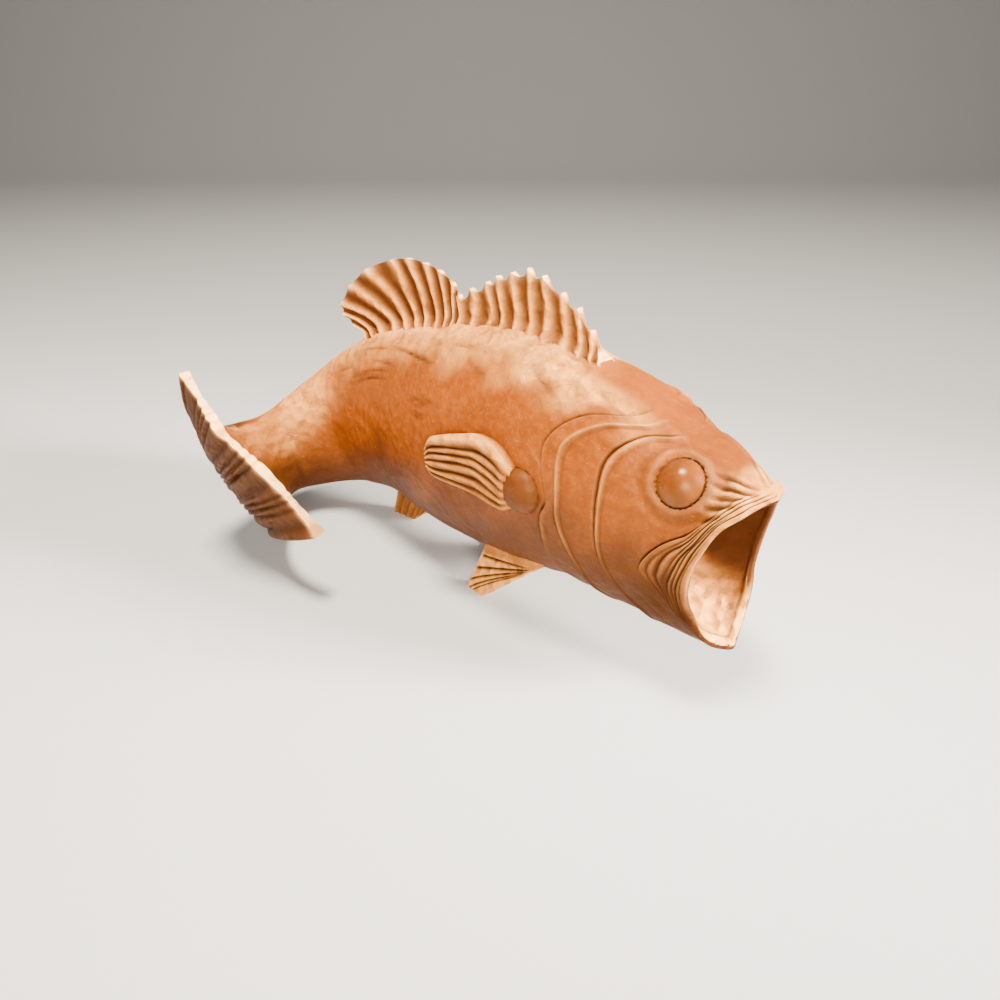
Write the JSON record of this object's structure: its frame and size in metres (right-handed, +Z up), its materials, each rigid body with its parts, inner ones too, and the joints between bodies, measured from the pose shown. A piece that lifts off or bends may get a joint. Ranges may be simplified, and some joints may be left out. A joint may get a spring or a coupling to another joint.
{
  "type": "carved bass figure",
  "caption": "Carved wooden bass bent sideways with its mouth wide open, resting on its pelvic fins and anal fin, with ribbed dorsal, pectoral and tail fins.",
  "frame": {"origin": "on the ground under the middle of the figure's outer sizes", "axes": "+Z up, +X towards the head, +Y towards the outside of the bend, the fish's left side"},
  "size_m": [0.2006, 0.1472, 0.1203],
  "materials": {
    "wood": "satin"
  },
  "bodies": {
    "root": {"bass_figure": "wood"}
  },
  "joints": []
}
